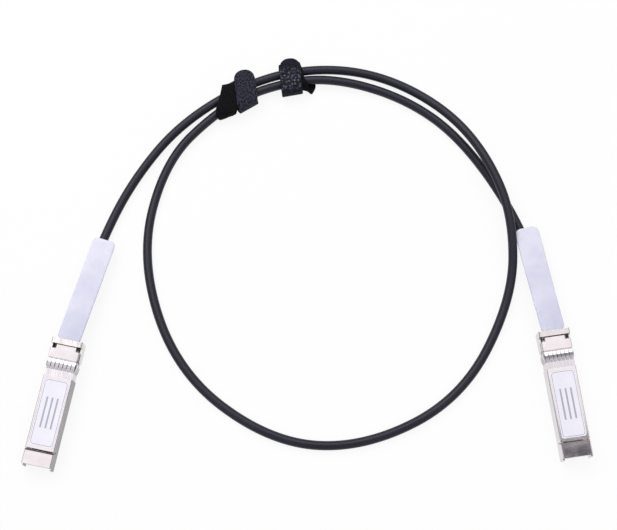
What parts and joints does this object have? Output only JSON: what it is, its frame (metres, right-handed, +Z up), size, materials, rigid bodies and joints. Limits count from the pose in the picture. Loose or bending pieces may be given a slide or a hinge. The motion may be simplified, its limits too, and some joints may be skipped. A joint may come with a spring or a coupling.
{
  "type": "direct attach copper cable",
  "caption": "Coiled direct attach copper network cable with a pluggable metal plug, latch slider and pull tab at each end, tied with hook-and-loop straps.",
  "frame": {"origin": "latch shoulder of plug A on its middle line, at the surface the cable lies on", "axes": "+Z up, -Y along plug A towards its nose, +X to the right seen from the nose's back with the label up"},
  "size_m": [0.2473, 0.216, 0.0114],
  "materials": {
    "nickel_plated_zinc": "satin",
    "spring_stainless": "polished",
    "slider_stainless": "satin",
    "steel_screw": "satin",
    "spring_steel": "satin",
    "label_paper": "gloss",
    "tab_vinyl": "translucent",
    "circuit_card": "satin",
    "gold_plating": "polished",
    "ceramic_parts": "matte",
    "foil_shield": "satin",
    "potting": "matte",
    "crimp_brass": "satin",
    "grommet_rubber": "matte",
    "cable_jacket": "satin",
    "strap_fabric": "matte"
  },
  "bodies": {
    "cable_and_plugs": {"base_shell_a": "nickel_plated_zinc", "top_cover_a": "nickel_plated_zinc", "label_a": "label_paper", "emi_gasket_a": "spring_stainless", "cover_screw_a": "steel_screw", "return_springs_a": "spring_steel", "paddle_card_a": "circuit_card", "card_contacts_a": "gold_plating", "card_components_a": "ceramic_parts", "wire_pairs_a": "foil_shield", "inner_mould_a": "potting", "crimp_ferrule_a": "crimp_brass", "cable_grommet_a": "grommet_rubber", "base_shell_b": "nickel_plated_zinc", "top_cover_b": "nickel_plated_zinc", "label_b": "label_paper", "emi_gasket_b": "spring_stainless", "cover_screw_b": "steel_screw", "return_springs_b": "spring_steel", "paddle_card_b": "circuit_card", "card_contacts_b": "gold_plating", "card_components_b": "ceramic_parts", "wire_pairs_b": "foil_shield", "inner_mould_b": "potting", "crimp_ferrule_b": "crimp_brass", "cable_grommet_b": "grommet_rubber", "cable": "cable_jacket", "strap_1": "strap_fabric", "strap_2": "strap_fabric"},
    "slider_a": {"latch_slider_a": "slider_stainless", "pull_tab_a": "tab_vinyl"},
    "slider_b": {"latch_slider_b": "slider_stainless", "pull_tab_b": "tab_vinyl"}
  },
  "joints": [
    {"name": "latch_slide_a", "type": "slide", "parent": "cable_and_plugs", "child": "slider_a", "axis": [0, 1, 0], "range_m": [0, 0.002], "stiffness_N_per_m": 1500, "springref_m": -0.002, "deforming": ["return_springs_a"]},
    {"name": "latch_slide_b", "type": "slide", "parent": "cable_and_plugs", "child": "slider_b", "axis": [-0.342, 0.9397, 0], "range_m": [0, 0.002], "stiffness_N_per_m": 1500, "springref_m": -0.002, "deforming": ["return_springs_b"]}
  ]
}
